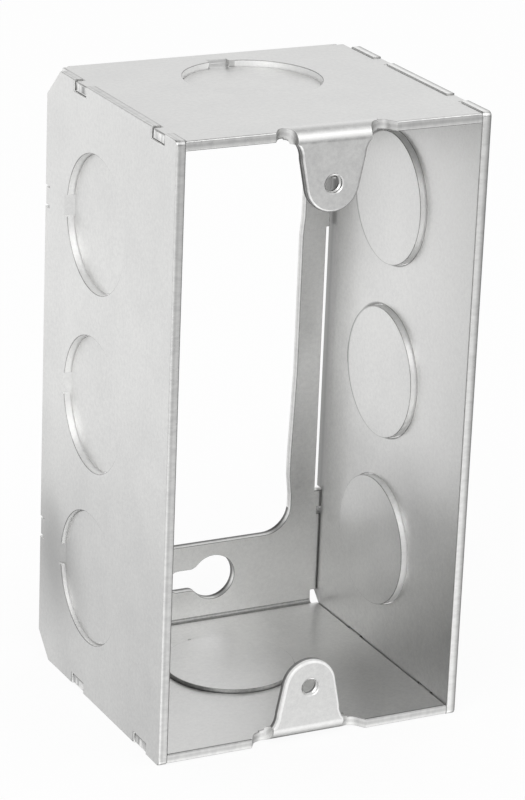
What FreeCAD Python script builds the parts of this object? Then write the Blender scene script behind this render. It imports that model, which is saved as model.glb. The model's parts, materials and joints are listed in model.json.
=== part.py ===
import FreeCAD, Part
import math
import os
import Sketcher

# A handy box extension ring, open at the front and the back: one bent strip of sheet steel makes
# the top wall, the back frame and the bottom wall, and a flat plate is welded on each side.
# X runs across the ring, Y from the open front (-Y) to the back, Z up. The origin is the middle
# of the underside. All sizes are in millimetres.

sizes = {
    # overall sizes, over the outer faces and edges of the side plates
    "ringWidth": 53.4,
    "ringHeight": 101.6,
    "ringDepth": 48.4,
    "sheetThickness": 1.6,
    # the strip: how far its walls lie inside the plates' edges, and its two back bends
    "wallInset": 0.2,
    "frontInset": 0.2,
    "backBendInside": 0.6,
    # side edges of the back frame: a gap to the plates, narrower towards its two ends
    "frameGap": 1.25,
    "frameGapTop": 19.2,
    "frameGapBottom": 28.3,
    "frameEndGap": 0.7,
    "frameEndGapHeight": 32.6,
    "bendReliefReach": 3.8,
    # the window in the back frame: the frame's width beyond its ends, half widths of its ends,
    # middle and waist, and where these meet, from the window's nearer end or from mid-height
    "windowEndFrame": 15.6,
    "windowCorner": 4.8,
    "windowTopHalfWidth": 19.8,
    "windowTopStep": 13.9,
    "windowHalfWidth": 19.5,
    "windowMiddleTop": 17.2,
    "windowMiddleBottom": 6.0,
    "windowWaistHalfWidth": 18.95,
    "windowWaistTop": 13.7,
    "windowWaistBottom": 10.2,
    "windowBottomHalfWidth": 19.35,
    "windowBottomStep": 6.7,
    # keyholes in the back frame, one at each end
    "keyholeInset": 9.3,
    "keyholeCentre": 4.93,
    "keyholeRadius": 4.0,
    "keyholeSlotHalf": 1.95,
    "keyholeSlotEnd": 3.6,
    "keyholeBlend": 1.8,
    # screw ears, bent inward from the front edges of the end walls; the inset from the ring's ends
    # puts the two tapped holes 83.34 apart
    "earScrewInset": 9.13,
    "earScrewRadius": 1.5,
    "earLeadIn": 0.15,
    "earInset": 0.45,
    "earBendInside": 0.9,
    "earTipRadius": 4.55,
    "earRootHalf": 5.45,
    "earRootFlare": 4.0,
    "earRootWiden": 0.8,
    "earBendHalf": 8.0,
    "earReliefHalf": 10.3,
    "earReliefSlant": 0.9,
    "earReliefDepth": 1.3,
    "earNotchFoot": 0.5,
    "earNotchRound": 0.54,
    # knockouts: hole, disc and the tie that still holds each disc
    "knockoutRadius": 11.15,
    "knockoutGap": 0.16,
    "tieWidth": 3.6,
    "tieReach": 1.3,
    "tieOverlap": 0.4,
    "plateKnockoutSpacing": 29.8,
    "leftKnockoutDepth": 28.6,
    "leftKnockoutPush": 1.2,
    "leftLowKnockoutPush": 0.75,
    "rightKnockoutDepth": 26.8,
    "rightKnockoutPush": 1.05,
    "rightLowKnockoutPush": 1.05,
    "topKnockoutShift": 0.95,
    "topKnockoutDepth": 31.0,
    "topKnockoutPush": 1.05,
    "topTieShift": 0.6,
    "bottomKnockoutShift": 1.2,
    "bottomKnockoutDepth": 27.4,
    "bottomKnockoutPush": 0.65,
    # outline of the side plates
    "plateCornerRound": 0.8,
    "plateTopCutDepth": 5.2,
    "plateTopCutHeight": 4.9,
    "plateBottomCutDepth": 4.4,
    "plateBottomCutHeight": 4.2,
    # welded tabs of the strip and the notches that they fill; depths are from the front edge
    "tabWidth": 4.0,
    "tabShort": 0.15,
    "tabClearance": 0.3,
    "backTabWidth": 3.0,
    "backTabTop": 29.2,
    "backTabBottomLeft": 28.0,
    "backTabBottomRight": 29.8,
    "topTabFrontLeft": 6.7,
    "topTabFrontRight": 9.4,
    "topTabRearLeft": 35.6,
    "topTabRearRight": 33.7,
    "bottomTabFrontLeft": 7.3,
    "bottomTabFrontRight": 7.3,
    "bottomTabRearLeft": 32.0,
    "bottomTabRearRight": 32.0,
    # how far a cut runs past the metal that it removes
    "cutMargin": 1.0,
}

doc = FreeCAD.newDocument("HandyBoxExtensionRing")
sheet = doc.addObject("Spreadsheet::Sheet", "Sizes")
for row, (name, size) in enumerate(sizes.items(), start=1):
    sheet.set(f"A{row}", name)
    sheet.set(f"B{row}", str(size))
    sheet.setAlias(f"B{row}", name)
doc.recompute()

# Places that several features share, written from the sheet. Heights in the sketches are
# measured from mid-height: each body is lifted by half the ring's height.
halfWidth = "Sizes.ringWidth / 2"
halfHeight = "Sizes.ringHeight / 2"
front = "(-Sizes.ringDepth / 2)"
back = "Sizes.ringDepth / 2"
plateInside = "(Sizes.ringWidth / 2 - Sizes.sheetThickness)"
wallOutside = "(Sizes.ringHeight / 2 - Sizes.wallInset)"
wallInside = f"({wallOutside} - Sizes.sheetThickness)"
backInside = f"({back} - Sizes.sheetThickness)"
backBendOutside = "(Sizes.backBendInside + Sizes.sheetThickness)"
wallFront = f"({front} + Sizes.frontInset)"
earFront = f"({front} + Sizes.earInset)"
earBendOutside = "(Sizes.earBendInside + Sizes.sheetThickness)"
earBendStart = f"({earFront} + {earBendOutside})"
earSide = "(Sizes.earRootHalf + Sizes.earRootWiden)"
earScrewHeight = f"({halfHeight} - Sizes.earScrewInset)"
windowTop = f"({halfHeight} - Sizes.windowEndFrame)"
discRadius = "(Sizes.knockoutRadius - Sizes.knockoutGap)"
margin = "Sizes.cutMargin"


def value(expression):
    return float(sheet.evalExpression(expression))


def bind(thing, path, expression):
    thing.setExpression(path, expression)


def newBody(label):
    body = doc.addObject("PartDesign::Body", label)
    body.Label = label
    bind(body, "Placement.Base.z", halfHeight)
    return body


def newSketch(body, role, name, offset=None):
    sketch = body.newObject("Sketcher::SketchObject", name)
    plane = [feature for feature in body.Origin.OriginFeatures if feature.Role == role][0]
    sketch.AttachmentSupport = [(plane, "")]
    sketch.MapMode = "FlatFace"
    if offset:
        bind(sketch, "AttachmentOffset.Base.z", offset)
    return sketch


def constrain(sketch, kind, expression, *where):
    index = sketch.addConstraint(Sketcher.Constraint(kind, *where, value(expression)))
    bind(sketch, f"Constraints[{index}]", expression)


def pin(sketch, geometry, point, x, y):
    constrain(sketch, "DistanceX", x, -1, 1, geometry, point)
    constrain(sketch, "DistanceY", y, -1, 1, geometry, point)


# A closed outline. Each corner is (x, y), reached by a straight line, or (x, y, radius, turn),
# reached by an arc that turns "left" or "right" and is shorter than a half circle.
def outline(sketch, corners, flipX=False, flipY=False):
    corners = [list(corner) for corner in corners]
    for corner in corners:
        if flipX:
            corner[0] = f"-({corner[0]})"
        if flipY:
            corner[1] = f"-({corner[1]})"
        if len(corner) > 2 and flipX != flipY:
            corner[3] = "right" if corner[3] == "left" else "left"
    points = [FreeCAD.Vector(value(corner[0]), value(corner[1]), 0) for corner in corners]
    first = sketch.GeometryCount
    starts, ends = [], []
    for index, corner in enumerate(corners):
        begin, end = points[index - 1], points[index]
        if len(corner) == 2:
            sketch.addGeometry(Part.LineSegment(begin, end), False)
            starts.append(1)
            ends.append(2)
            continue
        radius, turnsLeft = value(corner[2]), corner[3] == "left"
        chord = end - begin
        aside = FreeCAD.Vector(-chord.y, chord.x, 0).normalize()
        reach = math.sqrt(max(radius ** 2 - chord.Length ** 2 / 4, 0))
        centre = (begin + end) / 2 + aside * (reach if turnsLeft else -reach)
        near, far = (begin, end) if turnsLeft else (end, begin)
        circle = Part.Circle(centre, FreeCAD.Vector(0, 0, 1), radius)
        nearAngle = math.atan2(near.y - centre.y, near.x - centre.x)
        farAngle = math.atan2(far.y - centre.y, far.x - centre.x)
        sketch.addGeometry(Part.ArcOfCircle(circle, nearAngle, farAngle), False)
        constrain(sketch, "Radius", corner[2], first + index)
        starts.append(1 if turnsLeft else 2)
        ends.append(2 if turnsLeft else 1)
    for index in range(len(corners)):
        following = (index + 1) % len(corners)
        joint = (first + index, ends[index], first + following, starts[following])
        sketch.addConstraint(Sketcher.Constraint("Coincident", *joint))
        pin(sketch, first + index, ends[index], corners[index][0], corners[index][1])


def rectangle(sketch, left, right, bottom, top, flipX=False, flipY=False):
    outline(sketch, [(left, bottom), (right, bottom), (right, top), (left, top)], flipX, flipY)


def circle(sketch, x, y, radius):
    place = FreeCAD.Vector(value(x), value(y), 0)
    shape = Part.Circle(place, FreeCAD.Vector(0, 0, 1), value(radius))
    index = sketch.addGeometry(shape, False)
    pin(sketch, index, 3, x, y)
    constrain(sketch, "Radius", radius, index)


def pad(body, name, sketch, length, reverse=False, symmetric=False):
    feature = body.newObject("PartDesign::Pad", name)
    feature.Profile = sketch
    bind(feature, "Length", length)
    feature.Reversed = reverse
    if symmetric:
        feature.SideType = "Symmetric"
    doc.recompute()
    return feature


# Each cut runs on both sides of its sketch, and the body's volume has to fall.
def cut(body, name, sketch, length):
    before = body.Shape.Volume
    feature = body.newObject("PartDesign::Pocket", name)
    feature.Profile = sketch
    bind(feature, "Length", length)
    feature.SideType = "Symmetric"
    doc.recompute()
    if body.Shape.Volume >= before:
        raise RuntimeError(f"{name} removed nothing")
    return feature


# A knockout's hole and disc are cut from the same wall. The disc keeps the wall's thickness and is
# pushed straight in, and a sloping tie on its back side still holds it. Each place is the centre
# and the push. "inward" is 1 where the sketch plane's normal points into the ring, else -1.
def knockouts(body, role, label, face, inward, places, tieShift="0"):
    holes = newSketch(body, role, f"{label}Holes", face)
    for x, y, push in places:
        circle(holes, x, y, "Sizes.knockoutRadius")
    cut(body, f"{label}Hole", holes, "2 * Sizes.sheetThickness + 2 * Sizes.cutMargin")
    for number, (x, y, push) in enumerate(places, start=1):
        disc = newSketch(body, role, f"{label}Disc{number}", f"{face} + {inward} * {push}")
        circle(disc, x, y, discRadius)
        pad(body, f"{label}DiscPad{number}", disc, "Sizes.sheetThickness", reverse=inward < 0)
    for number, place in enumerate(places, start=1):
        tie(body, role, f"{label}{number}", place, face, inward, tieShift)


# At a tie the wall slopes down from outside the hole to a line just inside the disc's edge. The
# section is drawn across the wall: the wall is first cut back to the slope and then the sloping
# sheet is added.
def tie(body, role, label, place, face, inward, shift):
    x, y, push = place
    outer = "(Sizes.knockoutRadius + Sizes.tieReach)"
    inner = f"({discRadius} - Sizes.tieOverlap)"

    def corner(along, depth):
        level = f"{face} + {inward} * ({depth})"
        if role == "YZ_Plane":
            return level, f"{x} + {along}"
        return f"{y} + {along}", level

    sectionRole, middle = ("XY_Plane", y) if role == "YZ_Plane" else ("YZ_Plane", x)
    slope = newSketch(body, sectionRole, f"{label}TieSlope", f"{middle} + {shift}")
    outline(slope, [corner(outer, f"-{margin}"), corner(outer, "0"), corner(inner, push),
                    corner(inner, f"-{margin}")])
    cut(body, f"{label}TieSlopeCut", slope, "Sizes.tieWidth")
    bridge = newSketch(body, sectionRole, f"{label}Tie", f"{middle} + {shift}")
    outline(bridge, [corner(outer, "0"), corner(inner, push),
                     corner(inner, f"{push} + Sizes.sheetThickness"),
                     corner(outer, "Sizes.sheetThickness")])
    pad(body, f"{label}TiePad", bridge, "Sizes.tieWidth", symmetric=True)


def tabSpan(wall, place, side):
    centre = f"{front} + Sizes.{wall}Tab{place}{side}"
    return f"{centre} - Sizes.tabWidth / 2", f"{centre} + Sizes.tabWidth / 2"


def backTabHeights(side):
    return "Sizes.backTabTop", f"-Sizes.backTabBottom{side}"


# The C-shaped section of the strip, drawn from its bottom front edge round the back.
def stripBlank(body):
    sketch = newSketch(body, "YZ_Plane", "StripSection")
    bendSpot = f"{back} - {backBendOutside}"
    bendHeight = f"({wallOutside} - {backBendOutside})"
    inner = "Sizes.backBendInside"
    outline(sketch, [
        (wallFront, f"-{wallOutside}"),
        (bendSpot, f"-{wallOutside}"),
        (back, f"-{bendHeight}", backBendOutside, "left"),
        (back, bendHeight),
        (bendSpot, wallOutside, backBendOutside, "left"),
        (wallFront, wallOutside),
        (wallFront, wallInside),
        (bendSpot, wallInside),
        (backInside, bendHeight, inner, "right"),
        (backInside, f"-{bendHeight}"),
        (bendSpot, f"-{wallInside}", inner, "right"),
        (wallFront, f"-{wallInside}"),
    ])
    pad(body, "StripPad", sketch, f"2 * {plateInside}", symmetric=True)


# The back frame's side edges stand clear of the plates, less so at both ends of the gap, and a
# notch relieves each end of the back bends.
def frameEdges(body):
    sketch = newSketch(body, "XZ_Plane", "FrameEdges", f"-({back})")
    edge = f"{plateInside} - Sizes.frameGap"
    endEdge = f"{plateInside} - Sizes.frameEndGap"
    outside = f"{plateInside} + {margin}"
    relief, beyond = f"{wallOutside} - Sizes.bendReliefReach", f"{halfHeight} + {margin}"
    for flipX in (False, True):
        outline(sketch, [
            (endEdge, "-Sizes.frameEndGapHeight"),
            (outside, "-Sizes.frameEndGapHeight"),
            (outside, "Sizes.frameEndGapHeight"),
            (endEdge, "Sizes.frameEndGapHeight"),
            (endEdge, "Sizes.frameGapTop"),
            (edge, "Sizes.frameGapTop"),
            (edge, "-Sizes.frameGapBottom"),
            (endEdge, "-Sizes.frameGapBottom"),
        ], flipX)
        for flipY in (False, True):
            rectangle(sketch, edge, outside, relief, beyond, flipX, flipY)
    cut(body, "FrameEdgeCut", sketch, f"2 * {backBendOutside}")


# The window's sides step out at both ends and draw in to a waist above the lower step. This is
# the right side from the bottom up, as (half width, height).
def window(body):
    sketch = newSketch(body, "XZ_Plane", "Window", f"-({back})")
    corner = "Sizes.windowCorner"
    side = [
        ("Sizes.windowBottomHalfWidth", f"-{windowTop} + {corner}"),
        ("Sizes.windowBottomHalfWidth", f"-{windowTop} + Sizes.windowBottomStep"),
        ("Sizes.windowWaistHalfWidth", f"-{windowTop} + Sizes.windowWaistBottom"),
        ("Sizes.windowWaistHalfWidth", f"-{windowTop} + Sizes.windowWaistTop"),
        ("Sizes.windowHalfWidth", "-Sizes.windowMiddleBottom"),
        ("Sizes.windowHalfWidth", f"{windowTop} - Sizes.windowMiddleTop"),
        ("Sizes.windowTopHalfWidth", f"{windowTop} - Sizes.windowTopStep"),
        ("Sizes.windowTopHalfWidth", f"{windowTop} - {corner}"),
    ]
    low, high = side[0][0], side[-1][0]
    corners = [(f"{low} - {corner}", f"-{windowTop}")]
    corners.append((*side[0], corner, "left"))
    corners.extend(side[1:])
    corners.append((f"{high} - {corner}", windowTop, corner, "left"))
    corners.append((f"-{high} + {corner}", windowTop))
    corners.append((f"-{high}", side[-1][1], corner, "left"))
    corners.extend((f"-{wide}", height) for wide, height in reversed(side[:-1]))
    corners.append((f"-{low} + {corner}", f"-{windowTop}", corner, "left"))
    outline(sketch, corners)
    cut(body, "WindowCut", sketch, "2 * Sizes.sheetThickness + 2 * Sizes.cutMargin")


# A keyhole lies on its side: a round hole for the screw's head and a slot for its shank, which
# ends just past the ring's centre line, with a blend where the two meet.
def keyholes(body):
    sketch = newSketch(body, "XZ_Plane", "Keyholes", f"-({back})")
    centre, height = "Sizes.keyholeCentre", f"({halfHeight} - Sizes.keyholeInset)"
    radius = "Sizes.keyholeRadius"
    half, blend = "Sizes.keyholeSlotHalf", "Sizes.keyholeBlend"
    aside = f"sqrt(({radius} + {blend})^2 - ({half} + {blend})^2)"
    share = f"({radius} / ({radius} + {blend}))"
    touchX = f"{centre} - {aside} * {share}"
    touchRise = f"({half} + {blend}) * {share}"
    slotEnd = "-Sizes.keyholeSlotEnd"
    for flipY in (False, True):
        outline(sketch, [
            (touchX, f"{height} + {touchRise}", radius, "left"),
            (f"{centre} - {aside}", f"{height} + {half}", blend, "right"),
            (f"{slotEnd} + {half}", f"{height} + {half}"),
            (slotEnd, height, half, "left"),
            (f"{slotEnd} + {half}", f"{height} - {half}", half, "left"),
            (f"{centre} - {aside}", f"{height} - {half}"),
            (touchX, f"{height} - {touchRise}", blend, "right"),
            (f"{centre} + {radius}", height, radius, "left"),
        ], flipY=flipY)
    cut(body, "KeyholeCut", sketch, "2 * Sizes.sheetThickness + 2 * Sizes.cutMargin")


# The front edge of each end wall is cut back to where the ear's bend starts.
def earRelief(body):
    sketch = newSketch(body, "XY_Plane", "EarRelief")
    half = "Sizes.earBendHalf"
    outline(sketch, [
        (f"-{half}", f"{wallFront} - {margin}"),
        (half, f"{wallFront} - {margin}"),
        (half, earBendStart),
        (f"-{half}", earBendStart),
    ])
    cut(body, "EarReliefCut", sketch, f"2 * ({halfHeight} + {margin})")


# A rounded notch on each side of the ears, cut through the bend, ends in a slanting step.
def earNotches(body):
    notch = newSketch(body, "XY_Plane", "EarNotches")
    half, side = "Sizes.earReliefHalf", earSide
    step = f"({half} - Sizes.earReliefSlant)"
    stepLevel = f"{wallFront} + Sizes.earReliefDepth"
    sideLevel = f"{wallFront} + Sizes.earNotchFoot"
    radius = f"(Sizes.earNotchRound * ({step} - {side}))"
    outside = f"{wallFront} - {margin}"
    outline(notch, [
        (side, outside),
        (half, outside),
        (half, wallFront),
        (step, stepLevel),
        (side, sideLevel, radius, "left"),
    ])
    outline(notch, [
        (f"-{half}", outside),
        (f"-{side}", outside),
        (f"-{side}", sideLevel),
        (f"-{step}", stepLevel, radius, "left"),
        (f"-{half}", wallFront),
    ])
    cut(body, "EarNotchCut", notch, f"2 * ({halfHeight} + {margin})")


# The ears: a bent section, then the sides flare in from the bend, run straight and taper to a
# round tip that is concentric with the tapped hole.
def ears(body):
    root, tip, flare = "Sizes.earRootHalf", "Sizes.earTipRadius", "Sizes.earRootFlare"
    section = newSketch(body, "YZ_Plane", "EarSections")
    bendHeight = f"({wallOutside} - {earBendOutside})"
    tipHeight = f"({earScrewHeight} - {tip})"
    earBack = f"({earFront} + Sizes.sheetThickness)"
    for flipY in (False, True):
        outline(section, [
            (earBendStart, wallOutside),
            (earFront, bendHeight, earBendOutside, "left"),
            (earFront, tipHeight),
            (earBack, tipHeight),
            (earBack, bendHeight),
            (earBendStart, wallInside, "Sizes.earBendInside", "right"),
        ], flipY=flipY)
    pad(body, "EarPad", section, "2 * Sizes.earBendHalf", symmetric=True)

    trim = newSketch(body, "XZ_Plane", "EarOutlines", f"-{earFront}")
    drop = f"sqrt({flare}^2 - ({flare} - Sizes.earRootWiden)^2)"
    rootHeight = f"({bendHeight} - {drop})"
    rise = f"({rootHeight} - {earScrewHeight})"
    slant = f"sqrt({root}^2 + {rise}^2 - {tip}^2)"
    apart = f"({root}^2 + {rise}^2)"
    touchX = f"(({tip}^2 * {root} + {tip} * {slant} * {rise}) / {apart})"
    touchHeight = f"({earScrewHeight} + ({tip}^2 * {rise} - {tip} * {slant} * {root}) / {apart})"
    outside = f"(Sizes.earBendHalf + {margin})"
    for flipY in (False, True):
        outline(trim, [
            (f"-{outside}", bendHeight),
            (f"-{earSide}", bendHeight),
            (f"-{root}", rootHeight, flare, "right"),
            (f"-{touchX}", touchHeight),
            ("0", tipHeight, tip, "left"),
            (touchX, touchHeight, tip, "left"),
            (root, rootHeight),
            (earSide, bendHeight, flare, "right"),
            (outside, bendHeight),
            (outside, f"{tipHeight} - {margin}"),
            (f"-{outside}", f"{tipHeight} - {margin}"),
        ], flipY=flipY)
    cut(body, "EarTrim", trim, f"2 * {earBendOutside}")
    earNotches(body)

    holes = newSketch(body, "XZ_Plane", "EarHoles", f"-{earFront}")
    circle(holes, "0", earScrewHeight, "Sizes.earScrewRadius")
    circle(holes, "0", f"-{earScrewHeight}", "Sizes.earScrewRadius")
    cut(body, "EarHoleCut", holes, "2 * Sizes.sheetThickness + 2 * Sizes.cutMargin")
    leadIn(body)


# A small lead-in on the front rim of both tapped holes.
def leadIn(body):
    height, face, radius = value(earScrewHeight), value(earFront), value("Sizes.earScrewRadius")
    rims = []
    for number, edge in enumerate(body.Tip.Shape.Edges, start=1):
        box = edge.BoundBox
        flat = abs(box.YMin - face) < 1e-4 and abs(box.YMax - face) < 1e-4
        if flat and abs(box.XLength - 2 * radius) < 1e-3 and abs(abs(box.Center.z) - height) < 1e-3:
            rims.append(f"Edge{number}")
    chamfer = body.newObject("PartDesign::Chamfer", "EarLeadIn")
    chamfer.Base = (chamfer.BaseFeature, rims)
    bind(chamfer, "Size", "Sizes.earLeadIn")
    doc.recompute()


# Tabs along the strip's side edges reach through the notches in the plates.
def tabs(body):
    inner = f"{plateInside} - {margin}"
    outer = f"{halfWidth} - Sizes.tabShort"
    for wall, level, reverse in (("top", wallOutside, True), ("bottom", f"-{wallOutside}", False)):
        sketch = newSketch(body, "XY_Plane", f"{wall.capitalize()}Tabs", level)
        for side in ("Left", "Right"):
            for place in ("Front", "Rear"):
                low, high = tabSpan(wall, place, side)
                rectangle(sketch, inner, outer, low, high, flipX=side == "Left")
        pad(body, f"{wall.capitalize()}TabPad", sketch, "Sizes.sheetThickness", reverse)
    sketch = newSketch(body, "XZ_Plane", "BackTabs", f"-({back})")
    inner = f"{plateInside} - Sizes.frameGap - {margin}"
    for side in ("Left", "Right"):
        for height in backTabHeights(side):
            low, high = f"{height} - Sizes.backTabWidth / 2", f"{height} + Sizes.backTabWidth / 2"
            rectangle(sketch, inner, outer, low, high, flipX=side == "Left")
    pad(body, "BackTabPad", sketch, "Sizes.sheetThickness")


def wrapStrip():
    body = newBody("wrap_strip")
    stripBlank(body)
    frameEdges(body)
    window(body)
    keyholes(body)
    earRelief(body)
    ears(body)
    tabs(body)
    topPlace = ("Sizes.topKnockoutShift", f"{front} + Sizes.topKnockoutDepth",
                "Sizes.topKnockoutPush")
    knockouts(body, "XY_Plane", "TopKnockout", wallOutside, -1, [topPlace], "-Sizes.topTieShift")
    bottomPlace = ("-Sizes.bottomKnockoutShift", f"{front} + Sizes.bottomKnockoutDepth",
                   "Sizes.bottomKnockoutPush")
    knockouts(body, "XY_Plane", "BottomKnockout", f"-{wallOutside}", 1, [bottomPlace])
    return body


def plateBlank(body, outside, reverse):
    sketch = newSketch(body, "YZ_Plane", "PlateOutline", outside)
    corner = "Sizes.plateCornerRound"
    outline(sketch, [
        (f"{back} - Sizes.plateBottomCutDepth", f"-{halfHeight}"),
        (back, f"-{halfHeight} + Sizes.plateBottomCutHeight"),
        (back, f"{halfHeight} - Sizes.plateTopCutHeight"),
        (f"{back} - Sizes.plateTopCutDepth", halfHeight),
        (f"{front} + {corner}", halfHeight),
        (front, f"{halfHeight} - {corner}", corner, "left"),
        (front, f"-{halfHeight} + {corner}"),
        (f"{front} + {corner}", f"-{halfHeight}", corner, "left"),
    ])
    pad(body, "PlatePad", sketch, "Sizes.sheetThickness", reverse)


# Notches for the strip's tabs: as deep as the tabs are thick, with a clearance at both ends.
def plateNotches(body, side, outside):
    sketch = newSketch(body, "YZ_Plane", "Notches", outside)
    gap = "Sizes.tabClearance"
    beyond = f"{halfHeight} + {margin}"
    for wall in ("top", "bottom"):
        for place in ("Front", "Rear"):
            low, high = tabSpan(wall, place, side)
            rectangle(sketch, f"{low} - {gap}", f"{high} + {gap}", wallInside, beyond,
                      flipY=wall == "bottom")
    reach = f"(Sizes.backTabWidth / 2 + {gap})"
    for height in backTabHeights(side):
        rectangle(sketch, backInside, f"{back} + {margin}", f"{height} - {reach}",
                  f"{height} + {reach}")
    cut(body, "NotchCut", sketch, "2 * Sizes.sheetThickness + 2 * Sizes.cutMargin")


def sidePlate(side):
    inward = 1 if side == "Left" else -1
    outside = f"-({halfWidth})" if side == "Left" else halfWidth
    body = newBody(f"{side.lower()}_side_plate")
    plateBlank(body, outside, reverse=inward < 0)
    plateNotches(body, side, outside)
    depth, spacing = f"{front} + Sizes.{side.lower()}KnockoutDepth", "Sizes.plateKnockoutSpacing"
    push, lowPush = f"Sizes.{side.lower()}KnockoutPush", f"Sizes.{side.lower()}LowKnockoutPush"
    places = [(depth, f"-{spacing}", lowPush), (depth, "0", push), (depth, spacing, push)]
    knockouts(body, "YZ_Plane", "Knockout", outside, inward, places)
    return body


parts = [wrapStrip(), sidePlate("Left"), sidePlate("Right")]
doc.recompute()

for thing in doc.Objects:
    if "Invalid" in thing.State or "Error" in thing.State:
        raise RuntimeError(f"{thing.Label} failed: {thing.State}")
for body in parts:
    if body.Shape.isNull() or not body.Shape.isValid() or len(body.Shape.Solids) != 1:
        raise RuntimeError(f"{body.Label} isn't one valid solid")

os.makedirs("parts", exist_ok=True)
for body in parts:
    body.Shape.exportStep(f"parts/{body.Label}.step")
    box = body.Shape.BoundBox
    print(body.Label, "volume", round(body.Shape.Volume, 1), "x", round(box.XMin, 2),
          round(box.XMax, 2), "y", round(box.YMin, 2), round(box.YMax, 2), "z",
          round(box.ZMin, 2), round(box.ZMax, 2))
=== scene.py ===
import json
import math

import bmesh
import bpy
from mathutils import Euler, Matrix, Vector, noise

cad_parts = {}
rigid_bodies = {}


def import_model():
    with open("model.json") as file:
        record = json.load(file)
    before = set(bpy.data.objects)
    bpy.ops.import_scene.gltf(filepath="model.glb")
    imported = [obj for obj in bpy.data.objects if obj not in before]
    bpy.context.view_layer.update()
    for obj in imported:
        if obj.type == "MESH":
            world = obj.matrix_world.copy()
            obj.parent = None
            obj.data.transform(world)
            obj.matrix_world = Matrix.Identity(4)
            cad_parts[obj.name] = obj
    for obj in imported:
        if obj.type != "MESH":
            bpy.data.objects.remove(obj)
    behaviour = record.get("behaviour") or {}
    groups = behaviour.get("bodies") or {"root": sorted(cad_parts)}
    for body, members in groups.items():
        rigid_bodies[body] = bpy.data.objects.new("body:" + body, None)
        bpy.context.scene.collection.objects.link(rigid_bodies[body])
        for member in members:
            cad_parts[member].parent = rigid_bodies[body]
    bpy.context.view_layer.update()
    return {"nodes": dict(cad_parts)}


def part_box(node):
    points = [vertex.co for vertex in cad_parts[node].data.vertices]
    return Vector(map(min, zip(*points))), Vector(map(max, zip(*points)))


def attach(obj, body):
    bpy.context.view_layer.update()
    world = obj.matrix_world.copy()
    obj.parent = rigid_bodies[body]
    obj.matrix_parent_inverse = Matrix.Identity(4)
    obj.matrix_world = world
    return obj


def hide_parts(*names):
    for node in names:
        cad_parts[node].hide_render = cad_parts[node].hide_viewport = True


for leftover in list(bpy.data.objects):
    bpy.data.objects.remove(leftover, do_unlink=True)

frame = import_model()
nodes = frame["nodes"]
print("frame loaded:", ", ".join(sorted(nodes)))


# how the ring's sheet runs, in millimetres; "up" is the distance from mid height

ring = {
    "thickness": 1.6,
    "midHeight": 50.8,
    "plateInside": 25.1,        # inner face of the side plates, from the middle
    "wallInside": 49.0,         # inner face of the top and bottom walls
    "frameInside": 22.6,        # inner face of the back frame
    "backBend": (22.0, 48.4, 0.6),      # centre y, centre up, inside radius
    "earBend": (-21.25, 48.1, 0.9),
    "earBack": -22.15,
    "earZone": 7.95,            # half width of the strip that the ears take
}

knockouts = {
    "radius": 11.15,
    "slit": 0.08,                   # the disc ends this far inside the radius
    "reach": 0.6,                   # what lies this near the radius belongs to the cut
    "tie": (10.59, 12.45, 1.8),     # start and end beyond the centre, half width
    "tieRim": 0.2,                  # a tie's bends reach this far beyond its ends
    "left": [(4.4, -29.8, 0.75), (4.4, 0.0, 1.2), (4.4, 29.8, 1.2)],      # y, z from the middle, push
    "right": [(2.6, -29.8, 1.05), (2.6, 0.0, 1.05), (2.6, 29.8, 1.05)],
    "top": [(0.95, 6.8, 1.05)],                                            # x, y, push
    "bottom": [(-1.2, 3.2, 0.65)],
}


def pushAt(side, a, b):
    for x, y, push in knockouts[side]:
        if math.hypot(a - x, b - y) < knockouts["radius"] - knockouts["slit"]:
            return push
    return 0.0


def plateSheet(side, point):
    x, y, z = point * 1000
    push = pushAt("left" if side < 0 else "right", y, z - ring["midHeight"])
    depth = (abs(x) + push - ring["plateInside"]) / ring["thickness"]
    return Vector((side, 0, 0)), depth if side < 0 else 1 - depth      # both were cut from the left


def stripSheet(point):
    x, y, z = point * 1000
    sign = 1 if z > ring["midHeight"] else -1
    up = abs(z - ring["midHeight"])
    backY, backUp, backRadius = ring["backBend"]
    earY, earUp, earRadius = ring["earBend"]
    if y > backY:
        if up < backUp:
            return Vector((0, 1, 0)), (y - ring["frameInside"]) / ring["thickness"]
        way = Vector((0, y - backY, (up - backUp) * sign))
        return way.normalized(), (way.length - backRadius) / ring["thickness"]
    if abs(x) < ring["earZone"] and y < earY:
        if up < earUp:
            return Vector((0, -1, 0)), (ring["earBack"] - y) / ring["thickness"]
        way = Vector((0, y - earY, (up - earUp) * sign))
        return way.normalized(), (way.length - earRadius) / ring["thickness"]
    push = pushAt("top" if sign > 0 else "bottom", x, y)
    return Vector((0, 0, sign)), (up + push - ring["wallInside"]) / ring["thickness"]


# shader helpers


def feed(tree, socket, value):
    if isinstance(value, bpy.types.NodeSocket):
        tree.links.new(value, socket)
    else:
        socket.default_value = value


def calc(tree, operation, *values):
    node = tree.nodes.new("ShaderNodeMath")
    node.operation = operation
    for socket, value in zip(node.inputs, values):
        feed(tree, socket, value)
    return node.outputs[0]


def vectorCalc(tree, operation, *values):
    node = tree.nodes.new("ShaderNodeVectorMath")
    node.operation = operation
    for socket, value in zip(node.inputs, values):
        feed(tree, socket, value)
    return node.outputs["Value" if operation in ("DISTANCE", "DOT_PRODUCT") else "Vector"]


def ramp(tree, source, stops):
    node = tree.nodes.new("ShaderNodeValToRGB")
    elements = node.color_ramp.elements
    while len(elements) < len(stops):
        elements.new(0.5)
    for element, (position, level) in zip(elements, stops):
        element.position = position
        element.color = (*level, 1) if isinstance(level, tuple) else (level, level, level, 1)
    feed(tree, node.inputs["Fac"], source)
    return node.outputs["Color"]


def tinted(tree, colour, shade):
    node = tree.nodes.new("ShaderNodeMix")
    node.data_type = "RGBA"
    node.blend_type = "MULTIPLY"
    for name, value in (("Factor", 1.0), ("A", colour), ("B", shade)):
        feed(tree, node.inputs[name], value)
    return node.outputs["Result"]


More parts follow.
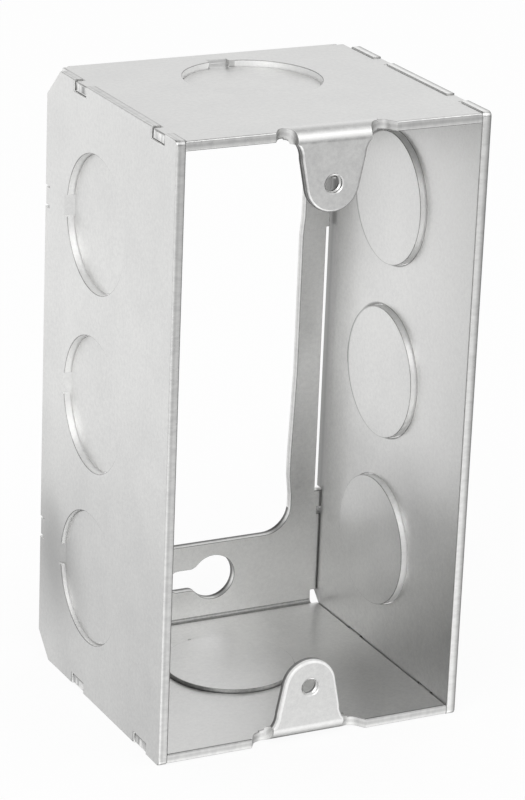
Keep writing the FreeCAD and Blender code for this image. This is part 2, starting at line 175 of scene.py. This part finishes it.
def noiseNode(tree, place, scale, detail, rough):
    node = tree.nodes.new("ShaderNodeTexNoise")
    for name, value in (("Vector", place), ("Scale", scale), ("Detail", detail), ("Roughness", rough)):
        feed(tree, node.inputs[name], value)
    return node.outputs


def objectPlace(tree):
    return tree.nodes.new("ShaderNodeTexCoord").outputs["Object"]


def splitAxes(tree, place):
    node = tree.nodes.new("ShaderNodeSeparateXYZ")
    feed(tree, node.inputs[0], place)
    return node.outputs


def between(tree, share, low, high, kind="LINEAR"):
    node = tree.nodes.new("ShaderNodeMapRange")
    node.interpolation_type = kind
    for name, value in (("Value", share), ("To Min", low), ("To Max", high)):
        feed(tree, node.inputs[name], value)
    return node.outputs["Result"]


def newGroup(name, inputs, outputs):
    group = bpy.data.node_groups.new(name, "ShaderNodeTree")
    for direction, titles in (("INPUT", inputs), ("OUTPUT", outputs)):
        for title in titles:
            group.interface.new_socket(name=title, in_out=direction, socket_type="NodeSocketFloat")
    given = group.nodes.new("NodeGroupInput").outputs
    return group, given, group.nodes.new("NodeGroupOutput").inputs


def useGroup(tree, group, values):
    node = tree.nodes.new("ShaderNodeGroup")
    node.node_tree = group
    for name, value in values.items():
        feed(tree, node.inputs[name], value)
    return node.outputs


# zinc: mottle of the coating

zincMottle = {
    "speckle": (1500.0, 3.0, 0.5),      # marks per metre, detail, roughness
    "speckleShare": 0.6,
    "grain": (4200.0, 2.0, 0.5),
    "grainShare": 0.4,
    "cloud": (90.0, 5.0, 0.6),
    "bumpDistance": 0.00004,
    "roughStops": (0.35, 0.65),
    "toneStops": (0.38, 0.62),
}


def makeMottle():
    group, given, result = newGroup("zincMottle", ["Cloud Share"], ["Tone", "Height"])
    place = objectPlace(group)
    speckle = noiseNode(group, place, *zincMottle["speckle"])["Fac"]
    grain = noiseNode(group, place, *zincMottle["grain"])["Fac"]
    cloud = noiseNode(group, place, *zincMottle["cloud"])["Fac"]
    fine = calc(group, "ADD", calc(group, "MULTIPLY", speckle, zincMottle["speckleShare"]),
                calc(group, "MULTIPLY", grain, zincMottle["grainShare"]))
    whole = group.nodes.new("ShaderNodeMix")
    for name, value in (("Factor", given["Cloud Share"]), ("A", fine), ("B", cloud)):
        feed(group, whole.inputs[name], value)
    feed(group, result["Tone"], whole.outputs["Result"])
    feed(group, result["Height"], fine)
    return group


# painted shading on the zinc: darker towards the bottom and the top, with soft patches of painted shade and
# one of painted light, in metres

paintedShading = {
    "byHeight": [(0.0, 0.91), (0.22, 0.90), (0.34, 0.93), (0.46, 1.0), (0.66, 1.0), (0.80, 0.95),
                 (0.92, 0.91)],     # share of the height, tone
    "height": 0.1016,
    "waverNoise": (55.0, 2.0, 0.5),
    "patches": [                # centre, reach, tone in the middle
        ((-0.0267, 0.0190, 0.0190), 0.016, 0.66),
        ((0.0040, 0.0226, 0.0060), 0.020, 1.14),
        ((0.0240, 0.0226, 0.0800), 0.026, 0.80),
        ((0.0251, -0.0110, 0.0310), 0.016, 0.84),
        ((0.0260, 0.0020, 0.0270), 0.019, 0.86),
        ((0.0170, -0.0060, 0.0010), 0.016, 0.84),
    ],
}


def makePaintedShading():
    group, given, result = newGroup("zincPaintedShading", ["Waver"], ["Shade"])
    place = objectPlace(group)
    cloud = noiseNode(group, place, *paintedShading["waverNoise"])["Color"]
    pushed = vectorCalc(group, "MULTIPLY_ADD", cloud, given["Waver"], place)
    moved = vectorCalc(group, "SUBTRACT", pushed, calc(group, "DIVIDE", given["Waver"], 2))
    height = calc(group, "DIVIDE", splitAxes(group, moved)["Z"], paintedShading["height"])
    shade = ramp(group, height, paintedShading["byHeight"])
    for centre, reach, tone in paintedShading["patches"]:
        far = calc(group, "DIVIDE", vectorCalc(group, "DISTANCE", moved, centre), reach)
        shade = calc(group, "MULTIPLY", shade, between(group, far, tone, 1.0, "SMOOTHSTEP"))
    feed(group, result["Shade"], shade)
    return group


# painted shade: a dark strip along the open seam at the back, on the plates' inner faces

seam = {
    "start": 0.0213,            # y, in metres
    "end": 0.0227,
    "faces": (0.0248, 0.0254),      # the inner faces lie between these, from the middle
}


def makeSeamShade():
    group, given, result = newGroup("paintedSeamShade", ["Tone"], ["Shade"])
    axes = splitAxes(group, objectPlace(group))
    width = seam["end"] - seam["start"]
    back = calc(group, "DIVIDE", calc(group, "SUBTRACT", axes["Y"], seam["start"]), width)
    side = calc(group, "ABSOLUTE", axes["X"])
    beyond = calc(group, "GREATER_THAN", side, seam["faces"][0])
    within = calc(group, "LESS_THAN", side, seam["faces"][1])
    share = calc(group, "MULTIPLY", back, calc(group, "MULTIPLY", beyond, within))
    feed(group, result["Shade"], between(group, share, 1.0, given["Tone"]))
    return group


# sheared edges: streaks that run through the sheet, and how deep in the sheet a point lies


def makeStreaks():
    group, given, result = newGroup("shearStreaks", ["Scale", "Stretch"], ["Streak", "Across"])
    place = objectPlace(group)
    way = group.nodes.new("ShaderNodeAttribute")
    way.attribute_name = "sheetWay"
    through = vectorCalc(group, "DOT_PRODUCT", place, way.outputs["Vector"])
    lost = group.nodes.new("ShaderNodeVectorMath")
    lost.operation = "SCALE"
    feed(group, lost.inputs[0], way.outputs["Vector"])
    feed(group, lost.inputs["Scale"], calc(group, "MULTIPLY", through, given["Stretch"]))
    along = vectorCalc(group, "SUBTRACT", place, lost.outputs["Vector"])
    streak = noiseNode(group, along, given["Scale"], *shearedEdge["streakNoise"])["Fac"]
    feed(group, result["Streak"], streak)
    depth = group.nodes.new("ShaderNodeAttribute")
    depth.attribute_name = "across"
    feed(group, result["Across"], depth.outputs["Fac"])
    return group


# finishes

zincSheet = {
    "dark": (0.725, 0.725, 0.72),
    "light": (0.845, 0.845, 0.835),
    "metallic": 1.0,
    "shadingPainted": True,
    "waver": 0.007,             # how far, in metres, the noise pushes the painted shading about
    "seamShadeTone": 0.42,
    "cloudShare": 0.35,
    "roughLow": 0.30,
    "roughHigh": 0.42,
    "bump": 0.25,
}

# the right plate's sheet, with painted shade: a dark line round its upper discs, where the slit round each
# lies in shadow
rightSheet = dict(zincSheet, outline={
    "side": "right",
    "above": -10,               # only discs higher than this, in mm from the middle
    "width": 0.00030,
    "widen": 0.045,             # it grows towards the back
    "tone": 0.36,
    "solid": 0.35,              # share of the width with the full tone
})

# dark grey for the knockouts' rims, partly the dark cut and partly painted shade in the slit, and painted
# shade in the back bends' hollows, under the lower ear's bend and on the bottom wall's knockout walls
cutLineAndShade = dict(zincSheet, dark=(0.34, 0.34, 0.34), light=(0.54, 0.54, 0.53), roughLow=0.35, roughHigh=0.55)

punchedWall = dict(zincSheet, dark=(0.86, 0.86, 0.855), light=(0.95, 0.95, 0.94), metallic=0.30, shadingPainted=False,
                   roughLow=0.30, roughHigh=0.44)

shearedEdge = {
    "dark": (0.70, 0.70, 0.695),
    "light": (0.78, 0.78, 0.77),
    "metallic": 1.0,
    "cloudShare": 0.35,
    "roughLow": 0.26,
    "roughHigh": 0.40,
    "bump": 0.25,
    "streakNoise": (3.0, 0.6),      # detail, roughness
    "streakStops": (0.36, 0.60),
    "streakScale": 1200.0,      # per metre along the edge
    "streakStretch": 0.6,       # how far the streaks run through the sheet
    "streakDepth": 0.00002,
    "bands": [(0.0, 0.40), (0.06, 0.46), (0.13, 0.92), (0.30, 0.96), (0.42, 0.80), (0.60, 0.82), (0.72, 1.0),
              (0.93, 1.0), (1.0, 0.66)],     # inside to outside: burnished and torn zones, with painted highlights on the rolled rims and painted shade lines at the corners
}

# lit and shaded copies of the sheared edge for the two plates' front edges: painted shading
leftEdgeShading = dict(shearedEdge, dark=(0.70, 0.70, 0.695), light=(0.80, 0.80, 0.79),
                bands=[(0.0, 0.42), (0.09, 0.46), (0.18, 0.80), (0.42, 0.86), (0.66, 0.72), (0.76, 0.80),
                       (0.84, 1.0), (0.94, 1.0), (1.0, 0.86)])

rightEdgeShading = dict(shearedEdge, dark=(0.82, 0.82, 0.81), light=(0.92, 0.92, 0.91),
                 bands=[(0.0, 0.30), (0.12, 0.34), (0.28, 0.62), (0.46, 0.82), (0.60, 1.0), (0.88, 1.0),
                        (0.94, 0.55), (1.0, 0.50)])

# the lower ear's edges: a dark torn zone and a bright rim, the bright rim a painted highlight; the upper
# ear's copy is darker, painted shade
lowerEarEdgeLit = dict(shearedEdge, dark=(0.88, 0.88, 0.875), light=(0.97, 0.97, 0.96), metallic=0.10,
               bands=[(0.0, 0.16), (0.46, 0.22), (0.60, 1.0), (1.0, 1.0)])

upperEarEdgeShaded = dict(lowerEarEdgeLit, dark=(0.54, 0.54, 0.535), light=(0.64, 0.64, 0.635), metallic=1.0)

# the torn tab ends: tears and streaks, their strong light and dark partly painted highlights and painted
# shade in the pits
tabEnd = dict(shearedEdge, dark=(0.40, 0.40, 0.40), light=(0.97, 0.97, 0.96), metallic=0.7, streakScale=900.0,
              streakStretch=0.93, streakDepth=0.00018, bands=[(0.0, 0.70), (0.5, 0.95), (1.0, 1.0)])

# a darker copy of the sheared edge for the window's lower edges and the keyhole: painted shade
openingEdgeShaded = dict(shearedEdge, dark=(0.58, 0.58, 0.575), light=(0.68, 0.68, 0.67),
                   bands=[(0.0, 1.0), (0.42, 0.86), (0.60, 0.22), (1.0, 0.16)])


def outlineShade(tree, outline):
    axes = splitAxes(tree, objectPlace(tree))
    flat = tree.nodes.new("ShaderNodeCombineXYZ")
    feed(tree, flat.inputs["Y"], axes["Y"])
    feed(tree, flat.inputs["Z"], axes["Z"])
    discs = knockouts[outline["side"]]
    behind = calc(tree, "MAXIMUM", calc(tree, "SUBTRACT", axes["Y"], discs[0][0] / 1000), 0.0)
    width = calc(tree, "MULTIPLY_ADD", behind, outline["widen"], outline["width"])
    near = 1.0
    for y, up, push in discs:
        if up < outline["above"]:
            continue
        centre = (0, y / 1000, (up + ring["midHeight"]) / 1000)
        far = vectorCalc(tree, "DISTANCE", flat.outputs[0], centre)
        gap = calc(tree, "ABSOLUTE", calc(tree, "SUBTRACT", far, knockouts["radius"] / 1000))
        near = calc(tree, "MINIMUM", gap, near)
    stops = [(0.0, outline["tone"]), (outline["solid"], outline["tone"]), (1.0, 1.0)]
    return ramp(tree, calc(tree, "DIVIDE", near, width), stops)


def sheetColour(tree, finish, tone):
    colour = ramp(tree, tone, list(zip(zincMottle["toneStops"], (finish["dark"], finish["light"]))))
    # painted shade and light by height and in soft patches
    if finish["shadingPainted"]:
        colour = tinted(tree, colour, useGroup(tree, paintedShadingGroup, {"Waver": finish["waver"]})["Shade"])
    # painted shade along the open seam at the back
    colour = tinted(tree, colour, useGroup(tree, seamShadeGroup, {"Tone": finish["seamShadeTone"]})["Shade"])
    # painted shade round the right plate's upper discs
    if "outline" in finish:
        colour = tinted(tree, colour, outlineShade(tree, finish["outline"]))
    return colour


def edgeColour(tree, finish, marks):
    colour = ramp(tree, marks["Streak"], list(zip(finish["streakStops"], (finish["dark"], finish["light"]))))
    return tinted(tree, colour, ramp(tree, marks["Across"], finish["bands"]))


def bumpNode(tree, height, strength, distance):
    node = tree.nodes.new("ShaderNodeBump")
    for name, value in (("Height", height), ("Strength", strength), ("Distance", distance)):
        feed(tree, node.inputs[name], value)
    return node


def zincMaterial(name, finish):
    material = bpy.data.materials.new(name)
    material.use_nodes = True
    tree = material.node_tree
    shader = tree.nodes["Principled BSDF"]
    shader.inputs["Metallic"].default_value = finish["metallic"]
    pattern = useGroup(tree, mottleGroup, {"Cloud Share": finish["cloudShare"]})
    levels = list(zip(zincMottle["roughStops"], (finish["roughLow"], finish["roughHigh"])))
    feed(tree, shader.inputs["Roughness"], ramp(tree, pattern["Tone"], levels))
    bump = bumpNode(tree, pattern["Height"], finish["bump"], zincMottle["bumpDistance"])
    if "bands" in finish:
        values = {"Scale": finish["streakScale"], "Stretch": finish["streakStretch"]}
        marks = useGroup(tree, streakGroup, values)
        colour = edgeColour(tree, finish, marks)
        ridges = bumpNode(tree, marks["Streak"], 1.0, finish["streakDepth"])
        feed(tree, ridges.inputs["Normal"], bump.outputs["Normal"])
        bump = ridges
    else:
        colour = sheetColour(tree, finish, pattern["Tone"])
    feed(tree, shader.inputs["Base Color"], colour)
    feed(tree, shader.inputs["Normal"], bump.outputs["Normal"])
    return material


mottleGroup = makeMottle()
paintedShadingGroup = makePaintedShading()
seamShadeGroup = makeSeamShade()
streakGroup = makeStreaks()

commonFinishes = {
    "sheet": zincMaterial("zinc_sheet", zincSheet),
    "edge": zincMaterial("sheared_edge", shearedEdge),
    "cut": zincMaterial("knockout_cut_and_painted_shade", cutLineAndShade),
    "tab": zincMaterial("tab_end", tabEnd),
    "ear": zincMaterial("lower_ear_edge_painted_highlight", lowerEarEdgeLit),
    "upperEar": zincMaterial("upper_ear_edge_painted_shade", upperEarEdgeShaded),
    "wall": zincMaterial("punched_wall", punchedWall),
    "opening": zincMaterial("opening_edge_painted_shade", openingEdgeShaded),
}
plateFinishes = {
    "left_side_plate": {"edge": zincMaterial("left_front_edge_painted_shading", leftEdgeShading)},
    "right_side_plate": {
        "edge": zincMaterial("right_front_edge_painted_shading", rightEdgeShading),
        "sheet": zincMaterial("zinc_right", rightSheet),
    },
}
slotOf = {finish: number for number, finish in enumerate(commonFinishes)}
print("materials made")


# sheet metal pieces: the CAD sheets with their corners rounded off

dressing = {
    "weld": 1e-7,
    "flatAngle": 0.5,           # faces that turn less than this are one face
    "edgeSlope": 0.55,          # a face on edge leans less than this towards the sheet's own direction
    "cornerAngle": 50.0,        # corners sharper than this are rounded
    "roundProfile": 0.5,
    "sharpAngle": 38.0,
    "tieMargin": 0.4,           # mm round a tie that stays square
    "tieSide": -0.05,           # mm, a face this far inside a tie is the tie's own
    "frameFrom": 22.2,          # y, in mm
    "earFrontFrom": -23.0,
}

rounding = {                    # width in metres, steps and finish, in the order of the work
    # knockout rims: a dark cut line, partly painted shade in the slit
    "knockoutRim": (0.00010, 2, "cut"),
    "frameRim": (0.00009, 2, "edge"),
    "earFront": (0.00044, 5, "ear"),        # the punch rolled these edges over
    "earBack": (0.00020, 2, "ear"),
    "upperEarFront": (0.00050, 5, "upperEar"),
    "upperEarBack": (0.00020, 2, "upperEar"),
    "rim": (0.00024, 3, "edge"),
}

stripZones = {                  # where the strip's finish changes, in mm
    "bendDepth": 0.3,           # thickness of the dark hollow in the back bends
    "bendUnder": (-22.4, 3.0),      # the lower ear's bend: in front of this y, below this z
    "bendSlope": (0.62, 0.95),
    "tabFrom": 26.0,            # x
    "tabBack": 20.0,            # y
    "openingHalf": 20.0,        # x
    "openingSlope": 0.10,       # the window's lower edge faces up at least this much
    "keyholeUp": 35.0,
    "earHalf": 6.6,             # x
    "earFrom": -22.1,           # y
    "earUp": 48.0,
    "bendHalf": 10.5,           # x, both bends of the ears with their notches
    "bendFrom": -21.0,          # y
    "bendUp": 47.9,
}


def upOf(point):
    return point.z * 1000 - ring["midHeight"]


def otherWall(side, up):
    return side == "top" and up < 0 or side == "bottom" and up > 0


def nearKnockout(sides, point):
    x, y, z = point * 1000
    up = upOf(point)
    for side in sides:
        a, b = (y, up) if side in ("left", "right") else (x, y)
        if otherWall(side, up):
            continue
        for cx, cy, push in knockouts[side]:
            if abs(math.hypot(a - cx, b - cy) - knockouts["radius"]) < knockouts["reach"]:
                return True
    return False


def nearTie(sides, point, margin):
    x, y, z = point * 1000
    up = upOf(point)
    start, end, half = knockouts["tie"]
    over = knockouts["tieRim"] + margin
    for side in sides:
        for a, b, push in knockouts[side]:
            offset, ahead = (up - b, y - a) if side in ("left", "right") else (x - a, y - b)
            if otherWall(side, up):
                continue
            if abs(offset) < half + margin and start - over < ahead < end + over:
                return True
    return False


def atEarBend(point):
    x, y, z = point * 1000
    zones = stripZones
    return abs(x) < zones["bendHalf"] and y < zones["bendFrom"] and abs(upOf(point)) > zones["bendUp"]


def stripFinish(usual, centre, normal):
    x, y, z = centre * 1000
    up = abs(upOf(centre))
    zones = stripZones
    backY, backUp, backRadius = ring["backBend"]
    if y > backY and up > backUp and math.hypot(y - backY, up - backUp) < backRadius + zones["bendDepth"]:
        return "cut"        # painted shade in the hollow of the back bends
    if y < zones["bendUnder"][0] and z < zones["bendUnder"][1]:
        if zones["bendSlope"][0] < -normal.z < zones["bendSlope"][1]:
            return "cut"    # painted shade under the lower ear's bend
    if usual != "edge":
        return usual
    if abs(x) > zones["tabFrom"]:
        return "tab" if y < zones["tabBack"] else "sheet"
    if y > dressing["frameFrom"] and abs(x) < zones["openingHalf"]:
        # up-facing window edges and the keyhole get the darker edge: painted shade
        if normal.z > zones["openingSlope"] or up > zones["keyholeUp"]:
            return "opening"
    if y < zones["earFrom"] and abs(x) < zones["earHalf"] and up < zones["earUp"]:
        # lower ear edges lit, upper ear edges shaded: painted highlight and painted shade
        return "ear" if upOf(centre) < 0 else "upperEar"
    return "edge"


def faceFinish(name, sides, sheetAt, face):
    centre = face.calc_center_median()
    way, depth = sheetAt(centre)
    finish = "edge" if abs(face.normal.dot(way)) < dressing["edgeSlope"] else "sheet"
    if finish == "edge" and nearKnockout(sides, centre):
        if nearTie(sides, centre, dressing["tieSide"]):
            finish = "sheet"
        else:
            # the bottom wall's knockout walls get the dark finish: painted shade
            finish = "cut" if "bottom" in sides and upOf(centre) < 0 else "wall"
    return stripFinish(finish, centre, face.normal) if name == "wrap_strip" else finish


tieBend = {
    "steps": 10,
    "skin": 0.03,               # mm, points this near a face of the sheet move with it
    "sideSlack": 0.02,          # mm
    "endSlack": 1e-5,           # metres
}


def softenTies(work, side):
    start, end, half = knockouts["tie"]
    onPlate = side in ("left", "right")
    across = 2 if onPlate else 0        # axis along the bend of the tie
    axis, sign = {"left": (0, 1), "right": (0, -1), "top": (2, -1), "bottom": (2, 1)}[side]      # inward
    outside = ring["plateInside"] + ring["thickness"]
    if not onPlate:
        outside = ring["wallInside"] + ring["thickness"] - sign * ring["midHeight"]
    for a, b, push in knockouts[side]:
        centre, y = (b + ring["midHeight"], a) if onPlate else (a, b)
        low, high = (y + start) / 1000, (y + end) / 1000

        def onTie(point):
            if not onPlate and otherWall(side, upOf(point)):
                return False
            if abs(point[across] * 1000 - centre) >= half + tieBend["sideSlack"]:
                return False
            return low - tieBend["endSlack"] < point.y < high + tieBend["endSlack"]

        for step in range(1, tieBend["steps"]):
            faces = [face for face in work.faces if onTie(face.calc_center_median())]
            parts = {part for face in faces for part in [*face.verts, *face.edges]}
            cut = low + (high - low) * step / tieBend["steps"]
            bmesh.ops.bisect_plane(work, geom=[*parts, *faces], dist=dressing["weld"], plane_no=(0, 1, 0),
                                   plane_co=(0, cut, 0))
        for vertex in work.verts:
            if not onTie(vertex.co):
                continue
            share = min(max((high - vertex.co.y) / (high - low), 0), 1)
            sunk = outside + sign * vertex.co[axis] * 1000 - push * share
            if min(abs(sunk), abs(sunk - ring["thickness"])) < tieBend["skin"]:
                soft = share * share * (3 - 2 * share)
                vertex.co[axis] += sign * push / 1000 * (soft - share)


def edgeKind(edge, sides):
    if len(edge.link_faces) != 2:
        return None
    first, second = edge.link_faces
    slots = [first.material_index, second.material_index]
    if slots.count(slotOf["sheet"]) != 1:
        return None
    if first.normal.angle(second.normal, 0) < math.radians(dressing["cornerAngle"]):
        return None
    middle = (edge.verts[0].co + edge.verts[1].co) / 2
    if nearTie(sides, middle, dressing["tieMargin"]) or atEarBend(middle):
        return None
    if nearKnockout(sides, middle):
        return "knockoutRim"
    if middle.y * 1000 > dressing["frameFrom"]:
        return "frameRim"
    if slotOf["ear"] in slots or slotOf["upperEar"] in slots:
        # lower and upper ear edges take the lit and the shaded rounding
        ear = "ear" if upOf(middle) < 0 else "upperEar"
        return ear + ("Front" if middle.y * 1000 < dressing["earFrontFrom"] else "Back")
    return "rim"


def roundEdges(work, sides):
    groups = {kind: [] for kind in rounding}
    for edge in work.edges:
        kind = edgeKind(edge, sides)
        if kind:
            groups[kind].append(edge)
    for kind, (width, steps, finish) in rounding.items():
        edges = [edge for edge in groups[kind] if edge.is_valid]
        bmesh.ops.bevel(work, geom=edges, offset=width, offset_type="OFFSET", segments=steps,
                        profile=dressing["roundProfile"], affect="EDGES", clamp_overlap=False,
                        loop_slide=False, material=slotOf[finish])


tornTabs = {
    "cuts": 7,
    "depth": 0.00032,
    "start": 0.25,              # the larger, the more of the end is torn
    "along": 1100.0,            # tears per metre along the seam
    "through": 240.0,           # and through the sheet
    "between": 40.0,            # tells the left tabs from the right ones
}


def tearTabs(work):
    ends = [face for face in work.faces if face.material_index == slotOf["tab"]]
    edges = {edge for face in ends for edge in face.edges}
    bmesh.ops.subdivide_edges(work, edges=list(edges), cuts=tornTabs["cuts"], use_grid_fill=True)
    ends = [face for face in work.faces if face.material_index == slotOf["tab"]]
    torn = {vertex for face in ends for vertex in face.verts}
    for vertex in torn:
        x, y, z = vertex.co
        place = Vector((x * tornTabs["between"], y * tornTabs["along"], z * tornTabs["through"]))
        tear = min(max(noise.noise(place) + tornTabs["start"], 0), 1)
        vertex.co.x -= math.copysign(tornTabs["depth"] * tear, x)
    print("tab ends torn:", len(torn), "points")


def shadeSmooth(work):
    for face in work.faces:
        face.smooth = True
    for edge in work.edges:
        turn = edge.calc_face_angle(0)
        edge.smooth = len(edge.link_faces) == 2 and turn <= math.radians(dressing["sharpAngle"])


def addPiece(name, mesh):
    piece = bpy.data.objects.new(name, mesh)
    bpy.context.collection.objects.link(piece)
    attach(piece, "root")
    return piece


def dressSheet(name, sides, sheetAt):
    work = bmesh.new()
    work.from_mesh(nodes[name].data)
    bmesh.ops.remove_doubles(work, verts=work.verts, dist=dressing["weld"])
    bmesh.ops.dissolve_limit(work, angle_limit=math.radians(dressing["flatAngle"]), verts=work.verts,
                             edges=work.edges)
    work.normal_update()
    for face in work.faces:
        face.material_index = slotOf[faceFinish(name, sides, sheetAt, face)]
    for side in sides:
        softenTies(work, side)
    roundEdges(work, sides)
    if name == "wrap_strip":
        tearTabs(work)
    low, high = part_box(name)
    for vertex in work.verts:
        vertex.co = [min(max(c, a), b) for c, a, b in zip(vertex.co, low, high)]
    work.normal_update()
    shadeSmooth(work)
    mesh = bpy.data.meshes.new(name + "_dressed")
    work.to_mesh(mesh)
    work.free()
    across = mesh.attributes.new("across", "FLOAT", "POINT")
    way = mesh.attributes.new("sheetWay", "FLOAT_VECTOR", "POINT")
    for vertex in mesh.vertices:
        direction, depth = sheetAt(vertex.co)
        across.data[vertex.index].value = depth
        way.data[vertex.index].vector = direction
    for material in (commonFinishes | plateFinishes.get(name, {})).values():
        mesh.materials.append(material)
    piece = addPiece(name + "_dressed", mesh)
    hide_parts(name)
    normals = piece.modifiers.new("flat faces", "WEIGHTED_NORMAL")
    normals.keep_sharp = True
    print(name, "dressed:", len(mesh.polygons), "faces")


dressSheet("wrap_strip", ("top", "bottom"), stripSheet)
dressSheet("left_side_plate", ("left",), lambda point: plateSheet(-1, point))
dressSheet("right_side_plate", ("right",), lambda point: plateSheet(1, point))


# tapped threads in the two ear holes, in millimetres

threads = {
    "up": 41.67,                # hole centres from mid height
    "front": -23.62,
    "back": -22.28,
    "pitch": 0.79,
    "root": 1.54,
    "crest": 1.30,
    "steps": 40,                # per turn
    "fadeSteps": 8,             # each end of the ridge runs out over these
    "profile": [(0.0, 0.0), (0.34, 1.0), (0.50, 1.0), (0.84, 0.0)],     # shares of the pitch and the ridge
}


def makeThread(name, up):
    middle = ring["midHeight"] + up
    length = threads["back"] - threads["front"]
    rows = int(length / threads["pitch"] * threads["steps"])
    work = bmesh.new()
    loops = []
    for i in range(rows + 1):
        angle = i / threads["steps"] * math.tau
        start = threads["front"] + length * i / rows - threads["pitch"] / 2
        fade = min(1.0, i / threads["fadeSteps"], (rows - i) / threads["fadeSteps"])
        loop = []
        for along, ridge in threads["profile"]:
            y = min(max(start + along * threads["pitch"], threads["front"]), threads["back"])
            radius = threads["root"] - (threads["root"] - threads["crest"]) * ridge * fade
            loop.append(work.verts.new((math.cos(angle) * radius / 1000, y / 1000,
                                        (middle + math.sin(angle) * radius) / 1000)))
        loops.append(loop)
    for first, second in zip(loops, loops[1:]):
        for j in range(len(first) - 1):
            work.faces.new((first[j], first[j + 1], second[j + 1], second[j]))
    mesh = bpy.data.meshes.new(name)
    work.to_mesh(mesh)
    work.free()
    mesh.materials.append(commonFinishes["sheet"])
    addPiece(name, mesh)


makeThread("upper_ear_thread", threads["up"])
makeThread("lower_ear_thread", -threads["up"])
print("ear holes threaded")


# floor, light and camera

studio = {
    "floorSize": 6.0,
    "floorTone": (0.95, 0.95, 0.95, 1),
    "shadowShare": 0.10,
    "backdrop": 1.0,            # what the camera sees round the part
    "roomLight": 1.0,           # what the floor and other dull surfaces get
    "boxSpread": 8.0,           # the larger, the tighter each soft box
    "lampAim": (0, 0, 0.05),
}

softBoxes = [                   # what the metal sees: where each one stands, and how bright it is
    ((-1, -1, -1), 0.79),
    ((-1, -1, 0), 0.61),
    ((-1, -1, 1), 1.98),
    ((-1, 0, -1), 0.77),
    ((-1, 0, 0), 1.05),
    ((-1, 1, -1), 0.30),
    ((-1, 1, 0), 1.36),
    ((0, -1, -1), 2.29),
    ((0, -1, 1), 1.16),
    ((0, 0, -1), 0.80),
    ((0, 1, 0), 1.56),
    ((1, -1, -1), 0.85),
    ((1, -1, 0), 0.05),
    ((1, -1, 1), 1.20),
    ((1, 0, -1), 0.40),
    ((1, 0, 0), 0.75),
    ((1, 0, 1), 0.50),
    ((1, 1, -1), 0.45),
    ((1, 1, 0), 0.09),
    ((1, 1, 1), 1.51),
]


def mixed(tree, share, first, second):
    node = tree.nodes.new("ShaderNodeMixShader")
    for socket, value in zip(node.inputs, (share, first, second)):
        feed(tree, socket, value)
    return node.outputs[0]


def makeFloor():
    bpy.ops.mesh.primitive_plane_add(size=studio["floorSize"])
    floor = bpy.context.object
    floor.name = "floor"
    floor.visible_glossy = False
    material = bpy.data.materials.new("pale_floor")
    material.use_nodes = True
    tree = material.node_tree
    tree.nodes.clear()
    diffuse = tree.nodes.new("ShaderNodeBsdfDiffuse")
    diffuse.inputs["Color"].default_value = studio["floorTone"]
    glow = tree.nodes.new("ShaderNodeEmission")
    glow.inputs["Strength"].default_value = studio["backdrop"]
    path = tree.nodes.new("ShaderNodeLightPath")
    share = calc(tree, "MULTIPLY", path.outputs["Is Camera Ray"], 1 - studio["shadowShare"])
    output = tree.nodes.new("ShaderNodeOutputMaterial")
    feed(tree, output.inputs["Surface"], mixed(tree, share, diffuse.outputs[0], glow.outputs[0]))
    floor.data.materials.append(material)


def background(tree, strength):
    node = tree.nodes.new("ShaderNodeBackground")
    feed(tree, node.inputs["Strength"], strength)
    return node.outputs[0]


def makeWorld():
    world = bpy.data.worlds.new("studio")
    bpy.context.scene.world = world
    world.use_nodes = True
    tree = world.node_tree
    tree.nodes.clear()
    way = tree.nodes.new("ShaderNodeTexCoord").outputs["Generated"]
    level = 0.0
    for aim, strength in softBoxes:
        toBox = vectorCalc(tree, "DOT_PRODUCT", way, Vector(aim).normalized())
        facing = calc(tree, "MAXIMUM", toBox, 0.0)
        glow = calc(tree, "MULTIPLY", calc(tree, "POWER", facing, studio["boxSpread"]), strength)
        level = calc(tree, "ADD", glow, level)
    path = tree.nodes.new("ShaderNodeLightPath").outputs
    room = background(tree, studio["roomLight"])
    lit = mixed(tree, path["Is Glossy Ray"], room, background(tree, level))
    white = background(tree, studio["backdrop"])
    output = tree.nodes.new("ShaderNodeOutputWorld")
    feed(tree, output.inputs["Surface"], mixed(tree, path["Is Camera Ray"], lit, white))


lamps = {
    "key": {"place": (-0.7, -0.6, 0.9), "size": 0.9, "power": 3.60},
    "fill": {"place": (0.8, -0.9, 0.7), "size": 1.0, "power": 1.80},
}


def makeLamp(name, lamp):
    data = bpy.data.lights.new(name, "AREA")
    data.size = lamp["size"]
    data.energy = lamp["power"]
    light = bpy.data.objects.new(name, data)
    bpy.context.collection.objects.link(light)
    light.location = lamp["place"]
    aim = Vector(studio["lampAim"]) - light.location
    light.rotation_euler = aim.to_track_quat("-Z", "Y").to_euler()


camera = {
    "place": (-0.23677, -0.46479, 0.23650),
    "turn": (1.21230, -0.03743, -0.46030),
    "lens": 154.72,
    "sensor": 36,
    "lift": 0.0626,
}


def makeCamera():
    data = bpy.data.cameras.new("camera")
    data.sensor_width = camera["sensor"]
    data.lens = camera["lens"]
    data.shift_y = camera["lift"]
    viewer = bpy.data.objects.new("camera", data)
    bpy.context.collection.objects.link(viewer)
    viewer.location = camera["place"]
    viewer.rotation_euler = Euler(camera["turn"])
    bpy.context.scene.camera = viewer


makeFloor()
makeWorld()
for name, lamp in lamps.items():
    makeLamp(name, lamp)
makeCamera()
bpy.context.scene.view_settings.view_transform = "Standard"
print("studio ready")
